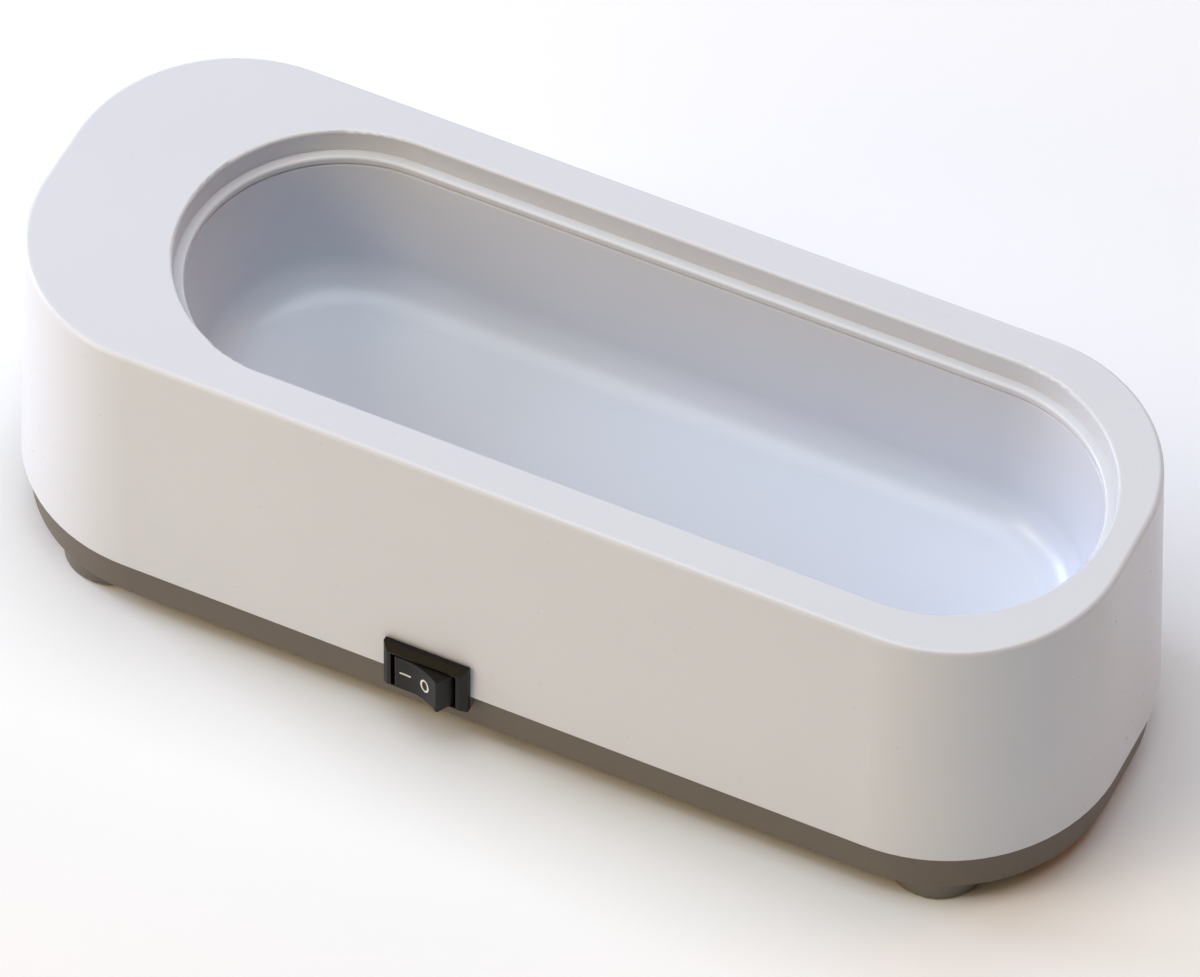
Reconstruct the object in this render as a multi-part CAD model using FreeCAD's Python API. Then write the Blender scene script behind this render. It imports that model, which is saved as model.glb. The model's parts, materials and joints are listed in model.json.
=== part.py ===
import FreeCAD, Part
import math
import os

# A small battery cleaner for glasses and jewellery: a white housing with a deep oval basin let
# into its top, on a grey base with four feet.  A motor with an off-centre weight is strapped
# under the basin and shakes it; four cells in the base drive it through a rocker switch.
#
# Millimetres.  X runs along the length, Y from front to back, Z up from the surface it stands on.
# Every piece is modelled about the housing's own middle and then moved back by BODY_BACK, so
# that the origin is the middle of the whole footprint, the rocker's raised edge included.

V = FreeCAD.Vector

# ---- driving dimensions ----
FOOT_HEIGHT = 4.2
BASE_HEIGHT = 9.0
HOUSING_HEIGHT = 51.5
BOTTOM_LENGTH, BOTTOM_WIDTH, BOTTOM_RADIUS = 200.0, 75.0, 31.5
FLARE = 2.0                     # how far the housing's foot stands out beyond its top, on each side
WALL = 2.2
TOP_PLATE = 2.5

OPENING_LENGTH, OPENING_WIDTH = 166.0, 56.0
OPENING_X = 9.5                 # the basin sits towards the right-hand end
LEDGE_DEPTH, LEDGE_WIDTH, LEDGE_THICK = 4.7, 1.8, 1.2
TANK_FLOOR_DEPTH = 33.0
TANK_WALL = 1.8
TANK_DRAFT = 3.2                # how much the basin narrows on each side, from ledge to floor
TANK_CORNER = 7.0
GASKET = 0.6
COLLAR = 1.8
FLANGE_REACH = 5.0

BASE_INSET = 1.4
FOOT_X, FOOT_Y = 76.6, 25.1
FOOT_RADIUS, FOOT_TOE_RADIUS = 8.9, 8.6

CELL_RADIUS, CELL_LENGTH, CELL_PITCH = 7.05, 50.5, 15.0
CELLS = 4
BAY_X, BAY_HALF_LENGTH, BAY_HALF_WIDTH = 32.5, 30.1, 29.5
BAY_WALL = 1.5
DOOR_TAB_Y = (-18.0, 18.0)
TONGUE_HALF, TONGUE_LENGTH = 7.0, 13.0
PLATE_THICK = 0.4               # the strips that join the cells
WIRE_RADIUS = 0.7

SWITCH_X = -11.3
BEZEL_LENGTH, BEZEL_HEIGHT, BEZEL_THICK, BEZEL_SLOPE = 15.6, 10.8, 2.0, 1.1
BEZEL_ABOVE_SEAM = 7.6          # how much of the bezel is above the seam of housing and base
ROCKER_TILT = 14.0              # degrees each way from level
FIT = 0.3                       # clearance round parts that drop into each other

# ---- levels that follow from them ----
BASE_Z = FOOT_HEIGHT
SEAM_Z = BASE_Z + BASE_HEIGHT
TOP_Z = SEAM_Z + HOUSING_HEIGHT
FLOOR_Z = BASE_Z + WALL                     # top of the base's floor
BAY_TOP_Z = FLOOR_Z + 14.8
LEAD_Z = BAY_TOP_Z + 3.2                    # where the wires cross the battery bay
CELL_Z = FLOOR_Z + 0.25 + CELL_RADIUS       # the cells' axes
PLATE_Y = BAY_HALF_WIDTH - PLATE_THICK
LEDGE_Z = TOP_Z - LEDGE_DEPTH
COLLAR_Z = LEDGE_Z - LEDGE_THICK            # underside of the housing's collar and ledge
FLANGE_Z = COLLAR_Z - GASKET                # top of the basin's flange
TANK_FLOOR_Z = TOP_Z - TANK_FLOOR_DEPTH
TANK_UNDER_Z = TANK_FLOOR_Z - 2.0
BASE_LENGTH = BOTTOM_LENGTH - 2 * BASE_INSET
BASE_WIDTH = BOTTOM_WIDTH - 2 * BASE_INSET
BASE_RADIUS = BOTTOM_RADIUS - BASE_INSET

# ---- rocker switch ----
SWITCH_Z = SEAM_Z + BEZEL_ABOVE_SEAM - BEZEL_HEIGHT / 2
BEZEL_BACK_Y = -BOTTOM_WIDTH / 2
BEZEL_FRONT_Y = BEZEL_BACK_Y - BEZEL_THICK
SWITCH_BODY_LENGTH, SWITCH_BODY_HEIGHT, SWITCH_BODY_DEPTH = 13.2, 9.6, 12.0
ROCKER_SLOT_LENGTH, ROCKER_SLOT_HEIGHT = 12.0, 8.0
PIVOT_Y = BEZEL_FRONT_Y + 2.0
CREST_X, CREST_OUT = 4.6, 3.45              # the rocker's raised edges, from its pivot when level
CREST_REACH = math.hypot(CREST_X, CREST_OUT)
CREST_ANGLE = math.degrees(math.atan2(CREST_OUT, CREST_X))
FRONT_Y = PIVOT_Y - CREST_REACH * math.sin(math.radians(CREST_ANGLE + ROCKER_TILT))
BODY_BACK = -(FRONT_Y + BOTTOM_WIDTH / 2) / 2
BLADE_DEPTH, BLADE_THICK, BLADE_TILT = 5.5, 0.5, 8.0

# ---- motor ----
CAN_RADIUS, CAN_FLAT, CAN_WALL = 10.2, 7.7, 0.8
CAN_FRONT_X, CAN_REAR_X = -62.0, -39.0
PAD = 1.0
MOTOR_Z = TANK_UNDER_Z - PAD - CAN_FLAT
SHAFT_RADIUS = 1.0
STRAP_X, STRAP_WIDTH, STRAP_THICK = -50.0, 12.0, 1.5
STRAP_SCREW_Y = 15.0


# ---- shapes that several parts use ----
def plan(length, width, radius, z, centre_x=0.0):
    """Outline of a rectangle with round corners; a radius of half the width gives an oval."""
    reach_x = length / 2 - radius
    reach_y = width / 2 - radius
    corners = [(1, 1, 0), (-1, 1, 90), (-1, -1, 180), (1, -1, 270)]

    def on_arc(sign_x, sign_y, degrees):
        angle = math.radians(degrees)
        x = centre_x + sign_x * reach_x + radius * math.cos(angle)
        return V(x, sign_y * reach_y + radius * math.sin(angle), z)

    edges = []
    for index, (sign_x, sign_y, start) in enumerate(corners):
        first, middle, last = (on_arc(sign_x, sign_y, start + turn) for turn in (0, 45, 90))
        edges.append(Part.Arc(first, middle, last).toShape())
        following = on_arc(*corners[(index + 1) % 4])
        if last.distanceToPoint(following) > 1e-6:
            edges.append(Part.LineSegment(last, following).toShape())
    return Part.Wire(edges)


def prism(wire, height):
    return Part.Face(wire).extrude(V(0, 0, height))


def taper(lower, upper):
    """Solid between two plans of the same make."""
    return Part.makeLoft([lower, upper], True, True)


def housing_plan(z, inset=0.0):
    """The housing's outline at height z, drawn in by inset."""
    rise = (z - SEAM_Z) / HOUSING_HEIGHT
    less = FLARE * rise + inset
    return plan(BOTTOM_LENGTH - 2 * less, BOTTOM_WIDTH - 2 * less, BOTTOM_RADIUS - less, z)


def base_plan(z, inset=0.0):
    return plan(BASE_LENGTH - 2 * inset, BASE_WIDTH - 2 * inset, BASE_RADIUS - inset, z)


def oval(z, grow=0.0):
    """The basin opening's outline at height z, grown outwards or, if negative, drawn in."""
    width = OPENING_WIDTH + 2 * grow
    return plan(OPENING_LENGTH + 2 * grow, width, width / 2, z, OPENING_X)


def box(x0, x1, y0, y1, z0, z1):
    return Part.makeBox(x1 - x0, y1 - y0, z1 - z0, V(x0, y0, z0))


def upright(radius, x, y, z0, z1):
    return Part.makeCylinder(radius, z1 - z0, V(x, y, z0))


def along_x(radius, x0, x1, y, z):
    return Part.makeCylinder(radius, x1 - x0, V(x0, y, z), V(1, 0, 0))


def along_y(radius, x, y0, y1, z):
    return Part.makeCylinder(radius, y1 - y0, V(x, y0, z), V(0, 1, 0))


def edges_at(shape, z):
    """The edges of a shape that lie level at height z."""
    level = []
    for edge in shape.Edges:
        bounds = edge.BoundBox
        if abs(bounds.ZMin - z) < 1e-3 and abs(bounds.ZMax - z) < 1e-3:
            level.append(edge)
    return level


def edges_within(shape, z, half_width):
    """The level edges at height z that reach no further than half_width from the middle plane."""
    return [edge for edge in edges_at(shape, z)
            if max(-edge.BoundBox.YMin, edge.BoundBox.YMax) < half_width + 0.01]


def screw(head_radius, head_height, shank_radius, shank_length):
    """A self-tapping screw pointing up, the underside of its head at z 0, with a cross recess."""
    head = Part.makeCylinder(head_radius, head_height, V(0, 0, -head_height))
    head = head.makeFillet(head_height * 0.35, edges_at(head, -head_height))
    point = shank_radius * 1.5
    shank = Part.makeCylinder(shank_radius, shank_length - point)
    tip = Part.makeCone(shank_radius, shank_radius * 0.25, point, V(0, 0, shank_length - point))
    arm, slot, depth = head_radius * 0.62, head_radius * 0.13, head_height * 0.55
    cross = box(-arm, arm, -slot, slot, -head_height, depth - head_height)
    cross = cross.fuse(box(-slot, slot, -arm, arm, -head_height, depth - head_height))
    return head.fuse([shank, tip]).cut(cross).removeSplitter()


def at(shape, x, y, z):
    placed = shape.copy()
    placed.translate(V(x, y, z))
    return placed


def tube(points, radius):
    """Round wire along straight runs joined by tangent arcs, each as large as its runs allow."""
    points = [V(*p) for p in points]
    edges = []
    radii = []
    start = points[0]
    for before, corner, after in zip(points, points[1:], points[2:]):
        towards = (before - corner).normalize()
        away = (after - corner).normalize()
        turn = math.pi - towards.getAngle(away)
        setback = 0.45 * min(corner.distanceToPoint(before), corner.distanceToPoint(after))
        bend = setback / math.tan(turn / 2)
        radii.append(round(bend, 1))
        bisector = (towards + away).normalize()
        enter = corner + towards * setback
        leave = corner + away * setback
        middle = corner + bisector * (bend / math.cos(turn / 2) - bend)
        edges.append(Part.LineSegment(start, enter).toShape())
        edges.append(Part.Arc(enter, middle, leave).toShape())
        start = leave
    edges.append(Part.LineSegment(start, points[-1]).toShape())
    path = Part.Wire(edges)
    first_run = points[1] - points[0]
    section = Part.Wire([Part.makeCircle(radius, points[0], first_run)])
    return path.makePipeShell([section], True, True), path.Length, radii


def coil_spring(wire, turns, height, low_radius, high_radius):
    """Round wire coiled upwards from z 0, made of eight bends to the turn."""
    bends = 8
    steps = bends * turns
    points = []
    for k in range(steps + 1):
        angle = 2 * math.pi * k / bends
        radius = low_radius + (high_radius - low_radius) * k / steps
        reach = radius / math.cos(math.pi / bends)
        points.append((reach * math.cos(angle), reach * math.sin(angle), height * k / steps))
    return tube(points, wire)[0]


# ---- housing and basin ----
def housing_boss_places():
    return [(sx * FOOT_X, sy * FOOT_Y) for sx in (-1, 1) for sy in (-1, 1)]


def tank_screw_places():
    """Three screws along each straight side of the basin's flange, clear of its collar."""
    side = OPENING_WIDTH / 2 + COLLAR + 1.1
    reach = (OPENING_LENGTH - OPENING_WIDTH) / 2
    return [(OPENING_X + k * reach, sy * side) for k in (-1, 0, 1) for sy in (-1, 1)]


def housing():
    """White shell: flared sides, flat top with the basin opening, a collar below it, bosses."""
    edge_round, opening_round, ledge_round = 1.0, 0.6, 0.5
    shell = taper(housing_plan(SEAM_Z), housing_plan(TOP_Z))
    shell = shell.makeFillet(edge_round, edges_at(shell, TOP_Z))
    shell = shell.cut(taper(housing_plan(SEAM_Z - 1, WALL), housing_plan(TOP_Z - TOP_PLATE, WALL)))
    shell = shell.fuse(prism(oval(COLLAR_Z, COLLAR), TOP_Z - COLLAR_Z - 1))

    boss_top, rib_bottom, rib_half = SEAM_Z + 14, SEAM_Z + 4, 0.8
    for x, y in housing_boss_places():
        side = math.copysign(1, y)
        shell = shell.fuse(upright(3.0, x, y, SEAM_Z + 0.2, boss_top))
        rib = sorted((y + side * 1.0, y + side * 9.5))
        shell = shell.fuse(box(x - rib_half, x + rib_half, rib[0], rib[1], rib_bottom, boss_top))
    for x, y in tank_screw_places():
        shell = shell.fuse(upright(2.2, x, y, COLLAR_Z, TOP_Z - TOP_PLATE))

    shell = shell.cut(prism(oval(LEDGE_Z), LEDGE_DEPTH + 1))
    shell = shell.cut(prism(oval(COLLAR_Z - 1, -LEDGE_WIDTH), LEDGE_DEPTH))
    ledge_half = OPENING_WIDTH / 2 - LEDGE_WIDTH
    shell = shell.makeFillet(opening_round, edges_within(shell, TOP_Z, OPENING_WIDTH / 2))
    shell = shell.makeFillet(ledge_round, edges_within(shell, LEDGE_Z, ledge_half))
    for x, y in housing_boss_places():
        shell = shell.cut(upright(1.55, x, y, SEAM_Z, boss_top - 2))
    for x, y in tank_screw_places():
        shell = shell.cut(upright(1.03, x, y, COLLAR_Z - 1, TOP_Z - 1.1))
    return shell.cut(switch_cutout()).removeSplitter()


def tank():
    """The basin: an oval tub whose flange hangs under the housing's collar, and motor bosses."""
    flange_thick = 1.8
    low_inset = LEDGE_WIDTH + TANK_DRAFT
    tub = taper(oval(TANK_UNDER_Z, TANK_WALL - low_inset), oval(FLANGE_Z, TANK_WALL - LEDGE_WIDTH))
    tub = tub.makeFillet(TANK_CORNER + TANK_WALL, edges_at(tub, TANK_UNDER_Z))
    flange = prism(oval(FLANGE_Z - flange_thick, FLANGE_REACH), flange_thick)
    flange = flange.common(prism(housing_plan(FLANGE_Z - flange_thick, WALL + 0.4), flange_thick))
    tub = tub.fuse(flange)
    for y in (-STRAP_SCREW_Y, STRAP_SCREW_Y):
        tub = tub.fuse(upright(2.8, STRAP_X, y, strap_tab_z(), TANK_UNDER_Z + 1))

    hollow = taper(oval(TANK_FLOOR_Z, -low_inset), oval(FLANGE_Z, -LEDGE_WIDTH))
    hollow = hollow.makeFillet(TANK_CORNER, edges_at(hollow, TANK_FLOOR_Z))
    tub = tub.cut(hollow)
    tub = tub.makeFillet(0.4, edges_within(tub, FLANGE_Z, OPENING_WIDTH / 2 - LEDGE_WIDTH))
    for x, y in tank_screw_places():
        tub = tub.cut(upright(1.15, x, y, FLANGE_Z - 3, FLANGE_Z + 1))
    for y in (-STRAP_SCREW_Y, STRAP_SCREW_Y):
        tub = tub.cut(upright(1.3, STRAP_X, y, strap_tab_z() - 1, TANK_UNDER_Z - 1))
    return tub.removeSplitter()


def tank_gasket():
    """Flat silicone ring between the housing's ledge and the basin's flange."""
    ring = prism(oval(FLANGE_Z, COLLAR - 0.2), GASKET)
    return ring.cut(prism(oval(FLANGE_Z, 0.3 - LEDGE_WIDTH), GASKET))


def tank_screws():
    one = screw(1.9, 1.3, 1.0, 5.2)
    return Part.makeCompound([at(one, x, y, FLANGE_Z - 1.8) for x, y in tank_screw_places()])


# ---- base ----
def switch_cutout():
    """The hole that the switch needs through the front, most of it in the housing's wall."""
    half_length, half_height = SWITCH_BODY_LENGTH / 2 + 0.15, SWITCH_BODY_HEIGHT / 2 + 0.1
    x0, x1 = SWITCH_X - half_length, SWITCH_X + half_length
    return box(x0, x1, -60, -25, SWITCH_Z - half_height, SWITCH_Z + half_height)


def switch_pad():
    """Pad that brings the base's wall out to the housing's, so that the bezel lies on both."""
    half_length = BEZEL_LENGTH / 2
    return box(SWITCH_X - half_length, SWITCH_X + half_length, BEZEL_BACK_Y, 1.0 - BASE_WIDTH / 2,
               SWITCH_Z - BEZEL_HEIGHT / 2, SEAM_Z)


def thumb_scoop():
    """Round hollow in the base's underside, for a fingertip beside the door's tongue."""
    ball, depth = 9.0, 1.3
    return Part.makeSphere(ball, V(BAY_X - BAY_HALF_LENGTH - 0.5, 0, BASE_Z + depth - ball))


def base():
    """Grey tray: floor, wall, a lip that locates the housing, screw posts and the battery bay."""
    tray = prism(base_plan(BASE_Z), BASE_HEIGHT)
    tray = tray.makeFillet(0.8, edges_at(tray, BASE_Z))
    tray = tray.cut(prism(base_plan(FLOOR_Z, WALL), BASE_HEIGHT))
    lip_height, lip_inset = 3.5, WALL + FIT
    lip = prism(housing_plan(SEAM_Z - 2, lip_inset), lip_height + 2)
    lip = lip.cut(prism(housing_plan(SEAM_Z - 3, lip_inset + 1.6), lip_height + 6))
    lip = lip.cut(box(SWITCH_X - 8.5, SWITCH_X + 8.5, -60, -25, SEAM_Z - 0.01, SEAM_Z + 9))
    tray = tray.fuse(lip)
    for x, y in housing_boss_places():
        tray = tray.fuse(upright(4.5, x, y, BASE_Z + 0.5, SEAM_Z))

    x0, x1 = BAY_X - BAY_HALF_LENGTH, BAY_X + BAY_HALF_LENGTH
    y1 = BAY_HALF_WIDTH
    bay_roof = BAY_TOP_Z + BAY_WALL
    tray = tray.fuse(box(x0 - BAY_WALL, x1 + BAY_WALL, -y1 - BAY_WALL, y1 + BAY_WALL,
                         FLOOR_Z - 1, bay_roof))
    tray = tray.fuse(switch_pad())

    tray = tray.cut(box(x0, x1, -y1, y1, BASE_Z - 1, BAY_TOP_Z))
    tray = tray.cut(thumb_scoop())
    for y in DOOR_TAB_Y:
        tray = tray.cut(box(x1 - 1, x1 + BAY_WALL + 1, y - 4.5, y + 4.5, FLOOR_Z, FLOOR_Z + 4.5))
    for x in (cell_x(0), cell_x(CELLS - 1)):
        tray = tray.cut(box(x - 1.7, x + 1.7, -y1, -y1 + 0.5, BAY_TOP_Z - 1, bay_roof + 1))
    for x, y in housing_boss_places():
        tray = tray.cut(upright(3.2, x, y, BASE_Z - 1, BASE_Z + 3))
        tray = tray.cut(upright(1.7, x, y, BASE_Z, SEAM_Z + 1))
    return tray.cut(switch_cutout()).removeSplitter()


def base_screws():
    one = screw(2.8, 2.0, 1.5, 17.0)
    return Part.makeCompound([at(one, x, y, BASE_Z + 3) for x, y in housing_boss_places()])


def foot(x, y):
    """Soft round foot: a short cone with a plug that presses into the screw's recess."""
    toe = Part.makeCone(FOOT_TOE_RADIUS, FOOT_RADIUS, FOOT_HEIGHT, V(x, y, 0))
    toe = toe.makeFillet(0.5, edges_at(toe, 0))
    return toe.fuse(upright(3.0, x, y, FOOT_HEIGHT, FOOT_HEIGHT + 0.8)).removeSplitter()


def battery_door():
    """Flat door over the cells: two tabs at the right, a springy grooved tongue at the left."""
    x0, x1 = BAY_X - BAY_HALF_LENGTH + FIT, BAY_X + BAY_HALF_LENGTH - FIT
    y1 = BAY_HALF_WIDTH - FIT
    door = box(x0, x1, -y1, y1, BASE_Z, FLOOR_Z)
    tab_half, tab_reach, tab_thick = 4.0, 2.6, 1.2
    tab_top = FLOOR_Z + 0.1 + tab_thick
    for y in DOOR_TAB_Y:
        tab = box(x1 - 1.5, x1 + tab_reach, y - tab_half, y + tab_half, FLOOR_Z + 0.1, tab_top)
        step = box(x1 - 1.5, x1, y - tab_half, y + tab_half, FLOOR_Z - 0.5, tab_top)
        door = door.fuse(tab).fuse(step)

    slit, tongue_thick = 1.2, 1.4
    tongue_end = x0 + TONGUE_LENGTH
    for side in (-1, 1):
        y = sorted((side * TONGUE_HALF, side * (TONGUE_HALF + slit)))
        door = door.cut(box(x0 - 1, tongue_end, y[0], y[1], BASE_Z - 1, FLOOR_Z + 1))
    thinning = box(x0 - 1, tongue_end, -TONGUE_HALF - 0.1, TONGUE_HALF + 0.1,
                   BASE_Z + tongue_thick, FLOOR_Z + 1)
    door = door.cut(thinning)
    catch = along_y(0.5, x0 + 0.3, -TONGUE_HALF, TONGUE_HALF, BASE_Z + 0.9)
    door = door.fuse(catch.common(box(x0 - 0.2, x0 + 1, -20, 20, BASE_Z, FLOOR_Z)))

    grooves, groove_width, groove_depth, groove_pitch = 4, 1.0, 0.4, 2.2
    groove_half = TONGUE_HALF - 1.0
    for k in range(grooves):
        x = x0 + 2.0 + groove_pitch * k
        door = door.cut(box(x, x + groove_width, -groove_half, groove_half,
                            BASE_Z - 1, BASE_Z + groove_depth))
    return door.removeSplitter()


# ---- cells and their contacts ----
def cell_x(index):
    return BAY_X + (index - (CELLS - 1) / 2) * CELL_PITCH


def cell_side(index):
    """The side that a cell's positive end faces: they alternate, front first."""
    return -1 if index % 2 == 0 else 1


def battery_cell(index):
    """A round cell with its positive button and the ring step round its negative end."""
    nub = 1.2
    length = CELL_LENGTH - nub
    cell = Part.makeCylinder(CELL_RADIUS, length)
    cell = cell.makeFillet(0.5, edges_at(cell, 0) + edges_at(cell, length))
    cell = cell.fuse(Part.makeCylinder(2.75, nub, V(0, 0, length)))
    cell = cell.cut(Part.makeCylinder(CELL_RADIUS - 1.5, 0.2))
    side = cell_side(index)
    cell.rotate(V(0, 0, 0), V(1, 0, 0), -90 * side)
    cell.translate(V(cell_x(index), side * (PLATE_Y - CELL_LENGTH), CELL_Z))
    return cell


def battery_springs():
    """A cone of spring wire behind each cell's negative end."""
    wire, turns = 0.35, 4
    wide, narrow = 4.6, 3.0
    end_y = CELL_LENGTH - PLATE_Y
    height = PLATE_Y - end_y - 2 * wire - 0.1
    springs = []
    for index in range(CELLS):
        spring = coil_spring(wire, turns, height, narrow, wide)
        side = -cell_side(index)
        spring.rotate(V(0, 0, 0), V(1, 0, 0), -90 * side)
        spring.translate(V(cell_x(index), side * (end_y + wire + 0.05), CELL_Z))
        springs.append(spring)
    return Part.makeCompound(springs)


def battery_contacts():
    """Plated strips on the bay's end walls: three join neighbouring cells, two carry the wires."""
    low, high, tail_top = FLOOR_Z + 1.3, BAY_TOP_Z - 2.0, LEAD_Z + 1.0
    plates = []
    for first, side in ((0, 1), (1, -1), (2, 1)):
        y = sorted((side * PLATE_Y, side * BAY_HALF_WIDTH))
        plates.append(box(cell_x(first) - 6, cell_x(first + 1) + 6, y[0], y[1], low, high))
    for index in (0, CELLS - 1):
        x = cell_x(index)
        plate = box(x - 6, x + 6, -BAY_HALF_WIDTH, -PLATE_Y, low, high)
        plates.append(plate.fuse(box(x - 1.5, x + 1.5, -BAY_HALF_WIDTH, -PLATE_Y, high - 1, tail_top)))
    return Part.makeCompound(plates)


# ---- motor under the basin ----
def can_section(shrink, x0, x1):
    """The motor's flat-sided round section between two places on its axis."""
    drum = along_x(CAN_RADIUS - shrink, x0, x1, 0, MOTOR_Z)
    flat = CAN_FLAT - shrink
    return drum.common(box(x0, x1, -CAN_RADIUS, CAN_RADIUS, MOTOR_Z - flat, MOTOR_Z + flat))


def motor_can():
    can = can_section(0, CAN_FRONT_X, CAN_REAR_X)
    can = can.fuse(along_x(3.6, CAN_FRONT_X - 1.8, CAN_FRONT_X + 0.2, 0, MOTOR_Z))
    can = can.cut(can_section(CAN_WALL, CAN_FRONT_X + CAN_WALL, CAN_REAR_X + 1))
    return can.cut(along_x(3.02, CAN_FRONT_X - 3, CAN_FRONT_X + 2, 0, MOTOR_Z)).removeSplitter()


def motor_end_cap():
    cap = can_section(0, CAN_REAR_X, CAN_REAR_X + 3)
    cap = cap.fuse(can_section(CAN_WALL + 0.05, CAN_REAR_X - 1.5, CAN_REAR_X + 0.5))
    cap = cap.cut(along_x(3.02, CAN_REAR_X - 3, CAN_REAR_X + 4, 0, MOTOR_Z))
    for y in (-6.0, 6.0):
        cap = cap.cut(box(CAN_REAR_X - 2, CAN_REAR_X + 4, y - 0.2, y + 0.2, MOTOR_Z - 1, MOTOR_Z + 1))
    return cap.removeSplitter()


def motor_bushings():
    places = ((CAN_FRONT_X - 1.8, CAN_FRONT_X + 0.8), (CAN_REAR_X - 0.5, CAN_REAR_X + 2.6))
    rings = [along_x(3.0, a, b, 0, MOTOR_Z).cut(along_x(SHAFT_RADIUS + 0.05, a, b, 0, MOTOR_Z))
             for a, b in places]
    return Part.makeCompound(rings)


def motor_magnets():
    """Two curved magnets against the can's round sides."""
    x0, x1 = CAN_FRONT_X + 3, CAN_REAR_X - 6
    outer, inner, half_height = CAN_RADIUS - CAN_WALL - 0.05, 6.9, 5.6
    ring = along_x(outer, x0, x1, 0, MOTOR_Z).cut(along_x(inner, x0, x1, 0, MOTOR_Z))
    return Part.makeCompound([
        ring.common(box(x0, x1, y, y + CAN_RADIUS, MOTOR_Z - half_height, MOTOR_Z + half_height))
        for y in (-CAN_RADIUS, 0.0)])


def motor_terminals():
    """Two tabs through the end cap, each carrying a brush leaf that reaches the commutator."""
    inside_x = CAN_REAR_X - 1.8
    low, high = MOTOR_Z - 1, MOTOR_Z + 1
    tabs = []
    for side in (-1, 1):
        y = 6.0 * side
        tab = box(inside_x, CAN_REAR_X + 6, y - 0.2, y + 0.2, low, high)
        leaf_y = sorted((2.5 * side, 6.2 * side))
        tab = tab.fuse(box(inside_x - 0.2, inside_x, leaf_y[0], leaf_y[1], low, high))
        brush_y = sorted((2.5 * side, 2.9 * side))
        tab = tab.fuse(box(CAN_REAR_X - 5.5, inside_x, brush_y[0], brush_y[1], low, high))
        tabs.append(tab.removeSplitter())
    return Part.makeCompound(tabs)


ARMATURE_FRONT_X, ARMATURE_REAR_X = CAN_FRONT_X + 5, CAN_FRONT_X + 15
POLES = 3


def motor_shaft():
    return along_x(SHAFT_RADIUS, CAN_FRONT_X - 12, CAN_REAR_X + 3.5, 0, MOTOR_Z)


def turned(shape, degrees):
    """A copy turned about the motor's axis."""
    copy = shape.copy()
    copy.rotate(V(0, 0, MOTOR_Z), V(1, 0, 0), degrees)
    return copy


def armature_core():
    """Three-pole iron core: hub, arms and curved shoes."""
    x0, x1 = ARMATURE_FRONT_X, ARMATURE_REAR_X
    outer, shoe, arm_half, gap_half = 6.2, 5.0, 0.9, 0.9
    core = along_x(2.2, x0, x1, 0, MOTOR_Z)
    rim = along_x(outer, x0, x1, 0, MOTOR_Z).cut(along_x(shoe, x0, x1, 0, MOTOR_Z))
    for k in range(POLES):
        angle = 360.0 * k / POLES
        gap = box(x0, x1, -gap_half, gap_half, MOTOR_Z + shoe - 1, MOTOR_Z + outer + 1)
        rim = rim.cut(turned(gap, angle + 180.0 / POLES))
        arm = box(x0, x1, -arm_half, arm_half, MOTOR_Z, MOTOR_Z + shoe + 0.5)
        core = core.fuse(turned(arm, angle))
    return core.fuse(rim).cut(along_x(SHAFT_RADIUS, x0, x1, 0, MOTOR_Z)).removeSplitter()


def armature_windings():
    """A coil of copper round each arm, standing a little past both ends of the core."""
    x0, x1 = ARMATURE_FRONT_X - 1.2, ARMATURE_REAR_X + 1.2
    coils = []
    for k in range(POLES):
        coil = box(x0, x1, -2.2, 2.2, MOTOR_Z + 2.5, MOTOR_Z + 4.4)
        coil = coil.makeFillet(0.7, [e for e in coil.Edges if abs(e.BoundBox.XLength) < 1e-6])
        hole = box(x0 + 1.2, x1 - 1.2, -0.9, 0.9, MOTOR_Z + 2, MOTOR_Z + 6)
        coils.append(turned(coil.cut(hole), 360.0 * k / POLES))
    return Part.makeCompound(coils)


def commutator():
    x0, x1 = CAN_REAR_X - 6, CAN_REAR_X - 2.6
    ring = along_x(2.4, x0, x1, 0, MOTOR_Z).cut(along_x(SHAFT_RADIUS, x0, x1, 0, MOTOR_Z))
    for k in range(POLES):
        slit = box(x0 - 1, x1 - 0.8, -0.15, 0.15, MOTOR_Z + 1.7, MOTOR_Z + 3)
        ring = ring.cut(turned(slit, 360.0 * k / POLES))
    return ring


def eccentric_weight():
    """Half a brass disc on the shaft's end: its pull, as it spins, is what shakes the basin."""
    x0, x1 = CAN_FRONT_X - 10, CAN_FRONT_X - 4
    disc = along_x(7.2, x0, x1, 0, MOTOR_Z).common(box(x0, x1, -8, 8, MOTOR_Z - 8, MOTOR_Z))
    weight = disc.fuse(along_x(2.8, x0, x1, 0, MOTOR_Z))
    return weight.cut(along_x(SHAFT_RADIUS, x0, x1, 0, MOTOR_Z)).removeSplitter()


def motor_pad():
    """Rubber pad between the motor's flat and the basin's underside."""
    return box(CAN_FRONT_X + 3, CAN_REAR_X - 3, -5, 5, TANK_UNDER_Z - PAD, TANK_UNDER_Z)


def strap_tab_z():
    """Underside of the bosses that the strap's tabs are screwed to."""
    return MOTOR_Z + 2.7


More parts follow.
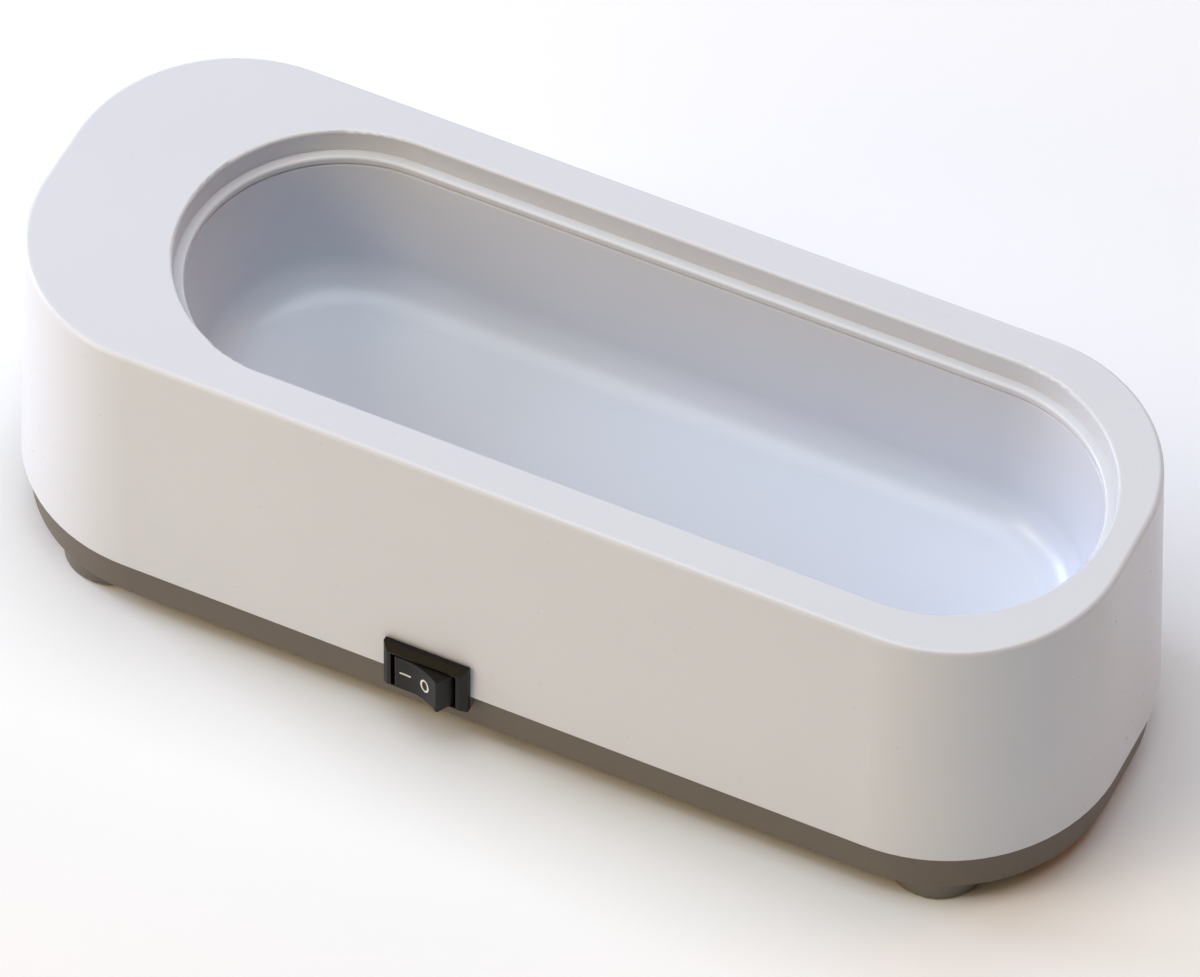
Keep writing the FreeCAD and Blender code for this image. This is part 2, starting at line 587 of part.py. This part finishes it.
def motor_strap():
    """Bent steel strap that holds the motor up against the pad."""
    x0, x1 = STRAP_X - STRAP_WIDTH / 2, STRAP_X + STRAP_WIDTH / 2
    leg = CAN_RADIUS + FIT
    low, high = MOTOR_Z - CAN_FLAT - STRAP_THICK, strap_tab_z()
    strap = box(x0, x1, -leg - STRAP_THICK, leg + STRAP_THICK, low, high)
    strap = strap.cut(box(x0, x1, -leg, leg, low + STRAP_THICK, high))
    corners = [e for e in edges_at(strap, low) if e.BoundBox.XLength > STRAP_WIDTH - 0.1]
    strap = strap.makeFillet(1.2, corners)
    for side in (-1, 1):
        y = sorted((side * leg, side * (STRAP_SCREW_Y + 3)))
        strap = strap.fuse(box(x0, x1, y[0], y[1], high - STRAP_THICK, high))
        strap = strap.cut(upright(1.45, STRAP_X, side * STRAP_SCREW_Y, high - 3, high + 1))
    return strap.removeSplitter()


def motor_strap_screws():
    one = screw(2.4, 1.7, 1.25, 6.2)
    z = strap_tab_z() - STRAP_THICK
    return Part.makeCompound([at(one, STRAP_X, y, z) for y in (-STRAP_SCREW_Y, STRAP_SCREW_Y)])


# ---- rocker switch ----
def terminal_x():
    """Middle terminal, which the see-saw blade rocks on, and the one that its right end meets."""
    return (SWITCH_X, SWITCH_X + 3.9)


def terminal_end_y():
    return PIVOT_Y + 18.0


def terminal_bars(grow=0.0):
    """The two terminals' tabs: thin bars through the switch's back wall."""
    blade_back = PIVOT_Y + BLADE_DEPTH + BLADE_THICK
    starts = (blade_back + 0.15, blade_back + 1.0)
    half_thick, half_height = 0.25 + grow, 1.4 + grow
    return [box(x - half_thick, x + half_thick, start, terminal_end_y(),
                SWITCH_Z - half_height, SWITCH_Z + half_height)
            for x, start in zip(terminal_x(), starts)]


def switch_body():
    """Black box with its bezel, side clips and the bores that the rocker turns in."""
    x, z = SWITCH_X, SWITCH_Z
    clip_x, clip_front, clip_back = 0.7, BEZEL_BACK_Y + 2.6, BEZEL_BACK_Y + 6.0
    clip_low, clip_height = z - 0.6, 4.0
    bezel = box(x - BEZEL_LENGTH / 2, x + BEZEL_LENGTH / 2, BEZEL_FRONT_Y, BEZEL_BACK_Y,
                z - BEZEL_HEIGHT / 2, z + BEZEL_HEIGHT / 2)
    front = [e for e in bezel.Edges if abs(e.BoundBox.YMin - BEZEL_FRONT_Y) < 1e-6
             and e.BoundBox.YLength < 1e-6]
    bezel = bezel.makeChamfer(BEZEL_SLOPE, front)
    half_length, half_height = SWITCH_BODY_LENGTH / 2, SWITCH_BODY_HEIGHT / 2
    back_y = BEZEL_BACK_Y + SWITCH_BODY_DEPTH
    shell = box(x - half_length, x + half_length, BEZEL_BACK_Y - 0.5, back_y,
                z - half_height, z + half_height)
    shell = shell.fuse(bezel)
    for side in (-1, 1):
        wall_x = x + side * half_length
        corner = V(wall_x, clip_front, clip_low)
        tip = V(wall_x + side * clip_x, clip_front, clip_low)
        wedge = Part.makePolygon([corner, tip, V(wall_x, clip_back, clip_low), corner])
        shell = shell.fuse(Part.Face(wedge).extrude(V(0, 0, clip_height)))
    slot_length, slot_height = ROCKER_SLOT_LENGTH / 2, ROCKER_SLOT_HEIGHT / 2
    shell = shell.cut(box(x - slot_length, x + slot_length, BEZEL_FRONT_Y - 1, back_y - 1.2,
                          z - slot_height, z + slot_height))
    shell = shell.cut(upright(1.08, x, PIVOT_Y, z - half_height + 0.15, z + half_height - 0.15))
    return shell.cut(terminal_bars(0.02)).removeSplitter()


def rocker_profile():
    """The rocker's outline seen from above, level, its pivot at 0, 0 and its face towards -Y."""
    hollow_out = 2.55
    foot_x, foot_depth = 5.6, 0.0
    heel_x, heel_depth = 4.2, 1.3
    left, right = V(-CREST_X, -CREST_OUT, 0), V(CREST_X, -CREST_OUT, 0)
    face = Part.Arc(left, V(0, -hollow_out, 0), right).toShape()
    points = [right, V(foot_x, foot_depth, 0), V(heel_x, heel_depth, 0),
              V(-heel_x, heel_depth, 0), V(-foot_x, foot_depth, 0), left]
    sides = [Part.LineSegment(a, b).toShape() for a, b in zip(points, points[1:])]
    return Part.Wire([face] + sides)


def rocker_height():
    return ROCKER_SLOT_HEIGHT - 0.4


def as_set(shape, degrees, y=0.0):
    """A switch part turned about its own upright axis and put in the switch, y behind the pivot."""
    shape.rotate(V(0, 0, 0), V(0, 0, 1), degrees)
    shape.translate(V(SWITCH_X, PIVOT_Y + y, SWITCH_Z))
    return shape


def switch_rocker():
    """The key, pressed in at its left half, with its two trunnions and the bore for the plunger."""
    half = rocker_height() / 2
    key = Part.Face(rocker_profile()).extrude(V(0, 0, 2 * half))
    key.translate(V(0, 0, -half))
    upright_edges = [e for e in key.Edges if e.BoundBox.ZLength > 2 * half - 0.1]
    crests = [e for e in upright_edges if e.BoundBox.YMax < 0.1 - CREST_OUT]
    key = key.makeFillet(0.45, crests)
    key = key.fuse(Part.makeCylinder(1.0, 2 * half + 1.2, V(0, 0, -half - 0.6)))
    stem = Part.makeCylinder(1.6, 2.9, V(0, 0.4, 0), V(0, 1, 0))
    bore = Part.makeCylinder(1.08, 4.4, V(0, -1.0, 0), V(0, 1, 0))
    return as_set(key.fuse(stem).cut(bore).removeSplitter(), -ROCKER_TILT)


def switch_plunger():
    """Round-nosed pin in the rocker's stem that rides over the see-saw blade."""
    pin = Part.makeCylinder(1.0, 2.4, V(0, 1.9, 0), V(0, 1, 0))
    nose = Part.makeSphere(1.0, V(0, 4.3, 0))
    return as_set(pin.fuse(nose).removeSplitter(), -ROCKER_TILT)


def switch_plunger_spring():
    wire, turns, height, radius = 0.12, 4, 2.1, 0.8
    spring = coil_spring(wire, turns, height, radius, radius)
    spring.rotate(V(0, 0, 0), V(1, 0, 0), -90)
    spring.translate(V(0, -0.35, 0))
    return as_set(spring, -ROCKER_TILT)


def switch_contact_blade():
    """See-saw blade that the plunger tips from one side to the other."""
    blade = box(-4.6, 4.6, -BLADE_THICK / 2, BLADE_THICK / 2, -1.4, 1.4)
    button = Part.makeCylinder(0.9, 0.35, V(3.9, BLADE_THICK / 2, 0), V(0, 1, 0))
    return as_set(blade.fuse(button).removeSplitter(), BLADE_TILT, BLADE_DEPTH + BLADE_THICK / 2)


def switch_terminals():
    return Part.makeCompound(terminal_bars())


# ---- wires ----
def insulated_wire(points):
    wire, length, radii = tube(points, WIRE_RADIUS)
    share = wire.Volume / (math.pi * WIRE_RADIUS ** 2 * length)
    print("wire length %.1f mm, bends %s, share %.4f" % (length, radii, share))
    return wire


def wire_battery_to_switch():
    x = terminal_x()[1]
    return insulated_wire([
        (cell_x(0), -PLATE_Y, LEAD_Z), (cell_x(0), -24, LEAD_Z), (3, -17, LEAD_Z + 0.2),
        (-6, -10.5, LEAD_Z - 2.6), (x, -8, SWITCH_Z + 2.6), (x, -12.5, SWITCH_Z),
        (x, terminal_end_y(), SWITCH_Z)])


def wire_switch_to_motor():
    x = terminal_x()[0]
    return insulated_wire([
        (x, terminal_end_y(), SWITCH_Z), (x, -14, SWITCH_Z), (-16, -9.5, SWITCH_Z + 2.2),
        (-24, -6, MOTOR_Z), (CAN_REAR_X + 6, -6, MOTOR_Z)])


def wire_battery_to_motor():
    return insulated_wire([
        (cell_x(CELLS - 1), -PLATE_Y, LEAD_Z), (cell_x(CELLS - 1), -23.5, LEAD_Z),
        (47, -15.5, LEAD_Z + 0.5), (31, -9.5, LEAD_Z + 0.9), (12, -6, LEAD_Z + 0.7),
        (-6, -1, LEAD_Z + 0.2), (-18, 5, LEAD_Z - 1.2), (-26, 6, MOTOR_Z),
        (CAN_REAR_X + 6, 6, MOTOR_Z)])


def all_parts():
    parts = {
        "housing": housing(),
        "tank": tank(),
        "tank_gasket": tank_gasket(),
        "tank_screws": tank_screws(),
        "base": base(),
        "base_screws": base_screws(),
        "battery_door": battery_door(),
        "battery_springs": battery_springs(),
        "battery_contacts": battery_contacts(),
        "motor_can": motor_can(),
        "motor_end_cap": motor_end_cap(),
        "motor_bushings": motor_bushings(),
        "motor_magnets": motor_magnets(),
        "motor_terminals": motor_terminals(),
        "motor_shaft": motor_shaft(),
        "armature_core": armature_core(),
        "armature_windings": armature_windings(),
        "commutator": commutator(),
        "eccentric_weight": eccentric_weight(),
        "motor_pad": motor_pad(),
        "motor_strap": motor_strap(),
        "motor_strap_screws": motor_strap_screws(),
        "switch_body": switch_body(),
        "switch_rocker": switch_rocker(),
        "switch_plunger": switch_plunger(),
        "switch_plunger_spring": switch_plunger_spring(),
        "switch_contact_blade": switch_contact_blade(),
        "switch_terminals": switch_terminals(),
        "wire_battery_to_switch": wire_battery_to_switch(),
        "wire_switch_to_motor": wire_switch_to_motor(),
        "wire_battery_to_motor": wire_battery_to_motor(),
    }
    for side_name, sx in (("left", -1), ("right", 1)):
        for end_name, sy in (("front", -1), ("rear", 1)):
            parts["foot_%s_%s" % (end_name, side_name)] = foot(sx * FOOT_X, sy * FOOT_Y)
    for index in range(CELLS):
        parts["battery_cell_%d" % (index + 1)] = battery_cell(index)
    return parts


def main():
    os.makedirs("parts", exist_ok=True)
    for name, shape in sorted(all_parts().items()):
        shape.translate(V(0, BODY_BACK, 0))
        if not shape.isValid():
            print("not valid:", name)
        print("%-24s solids %d  volume %.1f mm3" % (name, len(shape.Solids), shape.Volume))
        shape.exportStep("parts/%s.step" % name)


main()
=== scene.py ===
import json
import math

import bmesh
import bpy
from mathutils import Matrix, Vector


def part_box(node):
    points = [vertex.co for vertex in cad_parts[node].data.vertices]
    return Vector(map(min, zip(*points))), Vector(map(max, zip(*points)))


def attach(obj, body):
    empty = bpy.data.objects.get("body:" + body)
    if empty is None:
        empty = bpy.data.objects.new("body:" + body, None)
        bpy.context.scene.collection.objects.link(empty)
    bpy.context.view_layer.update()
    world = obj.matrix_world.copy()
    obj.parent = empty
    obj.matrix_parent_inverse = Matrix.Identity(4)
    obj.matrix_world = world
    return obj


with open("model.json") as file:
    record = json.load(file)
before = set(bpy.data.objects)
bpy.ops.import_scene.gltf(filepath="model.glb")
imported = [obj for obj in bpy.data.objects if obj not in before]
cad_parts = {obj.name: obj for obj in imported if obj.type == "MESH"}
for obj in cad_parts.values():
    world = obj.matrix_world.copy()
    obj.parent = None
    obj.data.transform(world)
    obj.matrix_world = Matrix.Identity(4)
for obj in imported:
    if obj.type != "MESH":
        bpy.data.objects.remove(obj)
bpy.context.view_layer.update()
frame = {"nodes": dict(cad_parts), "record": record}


# ---- the switch's own measures, as in the CAD, in metres ----
PIVOT_DEPTH = 0.002                     # from the bezel's front to the rocker's pivot
HOLLOW_OUT = 0.00255                    # from the pivot to the middle of the key's hollow face
HOLLOW_RADIUS = 0.0122                  # of that face
KEY_TILT = math.radians(14.0)

# ---- the marks printed on the key, in metres along and up from the middle of its face ----
PRINT_LIFT = 0.00003
STROKE = 0.00038
DASH_AT, DASH_HALF, DASH_STEPS = -0.0026, 0.00105, 10
RING_AT, RING_WIDE, RING_TALL, RING_STEPS = 0.00145, 0.001, 0.0015, 40

# ---- the cells' ends, in metres ----
NUB = 0.0013                            # the bare positive button and its face
RIM = 0.0003                            # the bare ring at the negative end
FRONT_POSITIVE = ("battery_cell_1", "battery_cell_3")

# ---- camera ----
AIM = Vector((-0.00374, 0.01542, 0.01243))
AZIMUTH, ELEVATION, ROLL = 24.806, 50.216, 0.857      # degrees
DISTANCE = 1.8145
LENS, SENSOR = 321.8, 36.0                            # millimetres
CLIP_START, CLIP_END = 0.1, 20.0


def camera():
    azimuth, elevation = math.radians(AZIMUTH), math.radians(ELEVATION)
    back = Vector((math.sin(azimuth) * math.cos(elevation),
                   -math.cos(azimuth) * math.cos(elevation), math.sin(elevation)))
    data = bpy.data.cameras.new("camera")
    data.lens, data.sensor_width = LENS, SENSOR
    data.clip_start, data.clip_end = CLIP_START, CLIP_END
    cam = bpy.data.objects.new("camera", data)
    bpy.context.collection.objects.link(cam)
    facing = back.to_track_quat("Z", "Y").to_matrix().to_4x4()
    roll = Matrix.Rotation(math.radians(ROLL), 4, "Z")
    cam.matrix_world = Matrix.Translation(AIM + back * DISTANCE) @ facing @ roll
    bpy.context.scene.camera = cam


# ---- studio ----
LIGHT_AIM = Vector((0.0, 0.0, 0.03))
WORLD_COLOUR, WORLD_STRENGTH = (0.93, 0.95, 1.0), 0.03

# Softboxes: name, place and size in metres, power in watts, colour.
LIGHTS = (
    ("overhead", (0.0, 0.0, 1.8), (1.4, 1.4), 18.5, (0.93, 0.98, 1.0)),
    ("left_side", (-1.6, 0.0, 0.7), (0.8, 0.6), 20.0, (0.64, 0.74, 1.0)),
    ("warm_front", (-0.9, -1.3, 0.6), (0.9, 0.7), 7.5, (1.0, 0.66, 0.22)),
    ("front_high", (-1.1, -0.8, 1.2), (0.6, 0.4), 7.0, (1.0, 0.88, 0.7)),
    ("edge", (-0.45, -0.65, 1.45), (0.4, 0.4), 1.2, (1.0, 0.97, 0.94)),
    ("back", (0.0, 1.6, 1.0), (1.2, 0.6), 8.0, (0.68, 0.82, 1.0)),
    ("warm_back", (1.2, 1.1, 1.2), (0.9, 0.7), 5.5, (1.0, 0.4, 0.15)),
)

FLOOR_REACH = 6.0                                     # from the middle to each side
FLOOR_DROP = 0.0002                                   # how far the floor lies under the feet


def area_light(name, place, size, power, colour):
    data = bpy.data.lights.new(name, "AREA")
    data.shape, data.size, data.size_y = "RECTANGLE", size[0], size[1]
    data.energy, data.color = power, colour
    lamp = bpy.data.objects.new(name, data)
    lamp.location = place
    lamp.rotation_euler = (LIGHT_AIM - Vector(place)).to_track_quat("-Z", "Y").to_euler()
    bpy.context.collection.objects.link(lamp)


def studio():
    world = bpy.data.worlds.new("studio")
    world.use_nodes = True
    background = world.node_tree.nodes["Background"]
    background.inputs["Color"].default_value = rgba(WORLD_COLOUR)
    background.inputs["Strength"].default_value = WORLD_STRENGTH
    bpy.context.scene.world = world
    bpy.context.scene.view_settings.view_transform = "Standard"
    for light in LIGHTS:
        area_light(*light)


def floor():
    mesh = bpy.data.meshes.new("floor")
    corners = [(x * FLOOR_REACH, y * FLOOR_REACH, -FLOOR_DROP)
               for x, y in ((-1, -1), (1, -1), (1, 1), (-1, 1))]
    mesh.from_pydata(corners, [], [(0, 1, 2, 3)])
    plane = bpy.data.objects.new("floor", mesh)
    bpy.context.collection.objects.link(plane)
    mesh.materials.append(material_floor())


# ---- materials ----
class Nodes:
    """A material's node tree, with short calls for what the materials here share."""

    def __init__(self, name):
        self.material = bpy.data.materials.new(name)
        self.material.use_nodes = True
        self.tree = self.material.node_tree
        self.shader = self.tree.nodes["Principled BSDF"]
        self.place = self.add("ShaderNodeTexCoord").outputs["Object"]

    def add(self, kind, **settings):
        node = self.tree.nodes.new(kind)
        for key, value in settings.items():
            setattr(node, key, value)
        return node

    def link(self, source, target):
        self.tree.links.new(source, target)

    def set(self, **values):
        for name, value in values.items():
            self.shader.inputs[name.replace("_", " ")].default_value = value

    def stretched(self, scale):
        mapping = self.add("ShaderNodeMapping")
        self.link(self.place, mapping.inputs["Vector"])
        mapping.inputs["Scale"].default_value = scale
        return mapping.outputs["Vector"]

    def noise(self, scale, detail=2.0, rough=0.5, vector=None):
        node = self.add("ShaderNodeTexNoise")
        self.link(vector or self.place, node.inputs["Vector"])
        node.inputs["Scale"].default_value = scale
        node.inputs["Detail"].default_value = detail
        node.inputs["Roughness"].default_value = rough
        return node.outputs["Fac"]

    def ramp(self, fac, low, high, start=0.0, end=1.0):
        """Colours or greys from low to high as fac goes from start to end."""
        node = self.add("ShaderNodeValToRGB")
        self.link(fac, node.inputs["Fac"])
        stops = node.color_ramp.elements
        stops[0].position, stops[1].position = start, end
        stops[0].color, stops[1].color = rgba(low), rgba(high)
        return node.outputs["Color"]

    def math(self, operation, a, b=0.0):
        node = self.add("ShaderNodeMath", operation=operation)
        for socket, value in zip(node.inputs, (a, b)):
            if isinstance(value, (int, float)):
                socket.default_value = value
            else:
                self.link(value, socket)
        return node.outputs["Value"]

    def mix(self, fac, a, b):
        node = self.add("ShaderNodeMix", data_type="RGBA")
        self.link(fac, node.inputs["Factor"])
        self.link(a, node.inputs["A"])
        self.link(b, node.inputs["B"])
        return node.outputs["Result"]

    def colour(self, output):
        self.link(output, self.shader.inputs["Base Color"])

    def roughness(self, fac, low, high, start=0.3, end=0.7):
        self.link(self.ramp(fac, low, high, start, end), self.shader.inputs["Roughness"])

    def bump(self, heights):
        """Heights are (output, depth in metres, strength), each laid over the one before."""
        normal = None
        for height, depth, strength in heights:
            node = self.add("ShaderNodeBump")
            node.inputs["Distance"].default_value = depth
            node.inputs["Strength"].default_value = strength
            self.link(height, node.inputs["Height"])
            if normal:
                self.link(normal, node.inputs["Normal"])
            normal = node.outputs["Normal"]
        self.link(normal, self.shader.inputs["Normal"])


def rgba(value):
    return (value, value, value, 1.0) if isinstance(value, float) else (*value, 1.0)


def material_floor():
    n = Nodes("floor")
    n.colour(n.ramp(n.noise(3.0), (0.92, 0.925, 0.93), (0.935, 0.94, 0.945)))
    n.set(Roughness=0.8)
    return n.material


def moulded(name, dark, light, rough, grain, depth, specular=0.5):
    """Moulded plastic or rubber: a faint flow of colour, a fine grain and a slightly uneven gloss."""
    n = Nodes(name)
    n.colour(n.ramp(n.noise(18.0, 3.0), dark, light, 0.2, 0.8))
    n.roughness(n.noise(900.0, 2.0), rough - 0.02, rough + 0.02, 0.2, 0.8)
    n.bump([(n.noise(25.0), 0.0002, 0.25), (n.noise(grain, 3.0, 0.6), depth, 0.5)])
    n.set(Specular_IOR_Level=specular)
    return n.material


# By slot: dark and light colour, roughness, grain per metre, its depth in metres, and any weaker reflection.
PLASTICS = {
    "white_shell": ((0.68, 0.70, 0.745), (0.71, 0.73, 0.775), 0.29, 3800.0, 0.00002),
    # tank_grey is the housing's white plastic, drawn a little darker and bluer: painted shade inside the
    # basin.
    "tank_grey": ((0.62, 0.65, 0.72), (0.65, 0.68, 0.75), 0.3, 2400.0, 0.000006),
    "base_taupe": ((0.135, 0.112, 0.088), (0.155, 0.13, 0.103), 0.5, 2600.0, 0.00003),
    "soft_foot": ((0.15, 0.135, 0.12), (0.18, 0.165, 0.15), 0.62, 3000.0, 0.00005),
    "silicone": ((0.62, 0.62, 0.6), (0.68, 0.68, 0.66), 0.4, 2000.0, 0.00002),
    "switch_black": ((0.005, 0.0042, 0.0034), (0.009, 0.0078, 0.0064), 0.42, 5200.0, 0.00002, 0.22),
    "motor_cap": ((0.6, 0.58, 0.52), (0.66, 0.64, 0.58), 0.45, 3000.0, 0.00003),
    "magnet": ((0.05, 0.05, 0.055), (0.07, 0.07, 0.075), 0.6, 2500.0, 0.00006),
    "wire_red": ((0.4, 0.02, 0.015), (0.46, 0.025, 0.02), 0.4, 2500.0, 0.00002),
    "wire_black": ((0.015, 0.015, 0.015), (0.02, 0.02, 0.02), 0.4, 2500.0, 0.00002),
}
MARK_PAINT = ((0.74, 0.72, 0.68), (0.8, 0.78, 0.74), 0.45, 5200.0, 0.00001)

# By slot: dark and light colour, roughness, and how the brushing is stretched along each axis.
METALS = {
    "steel": ((0.5, 0.5, 0.5), (0.64, 0.64, 0.65), 0.34, (1.0, 6.0, 6.0)),
    "motor_tin": ((0.5, 0.5, 0.48), (0.6, 0.6, 0.58), 0.3, (1.0, 9.0, 9.0)),
    "bronze": ((0.55, 0.36, 0.14), (0.68, 0.47, 0.2), 0.32, (1.0, 8.0, 8.0)),
    "copper": ((0.6, 0.22, 0.1), (0.74, 0.32, 0.15), 0.3, (9.0, 1.0, 1.0)),
    "contact_metal": ((0.62, 0.6, 0.56), (0.74, 0.72, 0.68), 0.22, (1.0, 1.0, 7.0)),
}


def metal(name, dark, light, rough, brushing):
    """Metal with brushing marks stretched along one direction."""
    n = Nodes(name)
    streaks = n.noise(900.0, 4.0, 0.6, n.stretched(brushing))
    n.colour(n.ramp(streaks, dark, light, 0.3, 0.7))
    n.set(Metallic=1.0)
    n.roughness(n.noise(300.0, 3.0), rough - 0.06, rough + 0.06)
    n.bump([(streaks, 0.00001, 0.4)])
    return n.material


def material_cell(node):
    """Printed film: copper over the third by the positive end, dark blue over the rest, bare metal ends."""
    low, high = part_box(node)
    length = high.y - low.y
    n = Nodes("cell_film")
    axes = n.add("ShaderNodeSeparateXYZ")
    n.link(n.place, axes.inputs["Vector"])
    positive_end = low.y if node in FRONT_POSITIVE else high.y
    depth = n.math("ABSOLUTE", n.math("SUBTRACT", axes.outputs["Y"], positive_end))
    copper = n.math("LESS_THAN", depth, length / 3)
    button = n.math("LESS_THAN", depth, NUB)
    rim = n.math("GREATER_THAN", depth, length - RIM)
    bare = n.math("MAXIMUM", button, rim)
    blue_film = n.ramp(n.noise(60.0), (0.03, 0.075, 0.11), (0.04, 0.09, 0.13))
    copper_film = n.ramp(n.noise(90.0), (0.5, 0.2, 0.08), (0.6, 0.26, 0.11))
    steel = n.ramp(n.noise(900.0), (0.5, 0.5, 0.5), (0.62, 0.62, 0.62))
    n.colour(n.mix(bare, n.mix(copper, blue_film, copper_film), steel))
    shine = n.math("MULTIPLY", copper, 0.7)
    n.link(n.math("MAXIMUM", shine, bare), n.shader.inputs["Metallic"])
    n.roughness(n.noise(500.0), 0.24, 0.32)
    n.bump([(n.noise(120.0), 0.0001, 0.2)])
    return n.material


def dress():
    """Gives every CAD node the material of its record slot."""
    by_slot = {slot: moulded(slot, *look) for slot, look in PLASTICS.items()}
    by_slot.update({slot: metal(slot, *look) for slot, look in METALS.items()})
    for part in frame["record"]["subparts"]:
        node, slot = part["node"], part["material_slot"]
        materials = frame["nodes"][node].data.materials
        materials.clear()
        materials.append(material_cell(node) if slot == "cell_jacket" else by_slot[slot])


# ---- the printed marks on the rocker ----
def rocker_face(along, up, lift):
    """A point on the key's hollow face: along and up from its middle, and lift proud of it, in metres."""
    low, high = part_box("switch_body")
    pivot = Vector(((low.x + high.x) / 2, low.y + PIVOT_DEPTH, (low.z + high.z) / 2))
    angle = along / HOLLOW_RADIUS
    reach = HOLLOW_RADIUS - lift
    level = Vector((reach * math.sin(angle), reach * math.cos(angle) - HOLLOW_RADIUS - HOLLOW_OUT, up))
    return pivot + Matrix.Rotation(-KEY_TILT, 3, "Z") @ level


def raised_line(name, pairs, closed):
    """A thin printed band on the key's face, given by the pairs of points that its two edges go through."""
    mesh = bmesh.new()
    rows = []
    for inner, outer in pairs:
        section = ((inner, PRINT_LIFT), (outer, PRINT_LIFT), (outer, 0.0), (inner, 0.0))
        rows.append([mesh.verts.new(rocker_face(u, w, lift)) for (u, w), lift in section])
    ends = zip(rows, rows[1:] + rows[:1]) if closed else zip(rows, rows[1:])
    for row, following in ends:
        for k, vertex in enumerate(row):
            after = (k + 1) % len(row)
            mesh.faces.new((vertex, row[after], following[after], following[k]))
    if not closed:
        mesh.faces.new(rows[0][::-1])
        mesh.faces.new(rows[-1])
    bmesh.ops.recalc_face_normals(mesh, faces=mesh.faces[:])
    data = bpy.data.meshes.new(name)
    mesh.to_mesh(data)
    mesh.free()
    data.materials.append(moulded("mark_paint", *MARK_PAINT))
    piece = bpy.data.objects.new(name, data)
    bpy.context.collection.objects.link(piece)
    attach(piece, "rocker")


def marks():
    """A dash for on and a ring for off."""
    dash = []
    for k in range(DASH_STEPS + 1):
        u = DASH_AT + DASH_HALF * (2 * k / DASH_STEPS - 1)
        dash.append(((u, -STROKE / 2), (u, STROKE / 2)))
    raised_line("rocker_mark_on", dash, False)

    ring = []
    for k in range(RING_STEPS):
        angle = math.tau * k / RING_STEPS
        c, s = math.cos(angle), math.sin(angle)
        ring.append(((RING_AT + (RING_WIDE - STROKE) * c, (RING_TALL - STROKE) * s),
                     (RING_AT + RING_WIDE * c, RING_TALL * s)))
    raised_line("rocker_mark_off", ring, True)


camera()
studio()
floor()
dress()
marks()
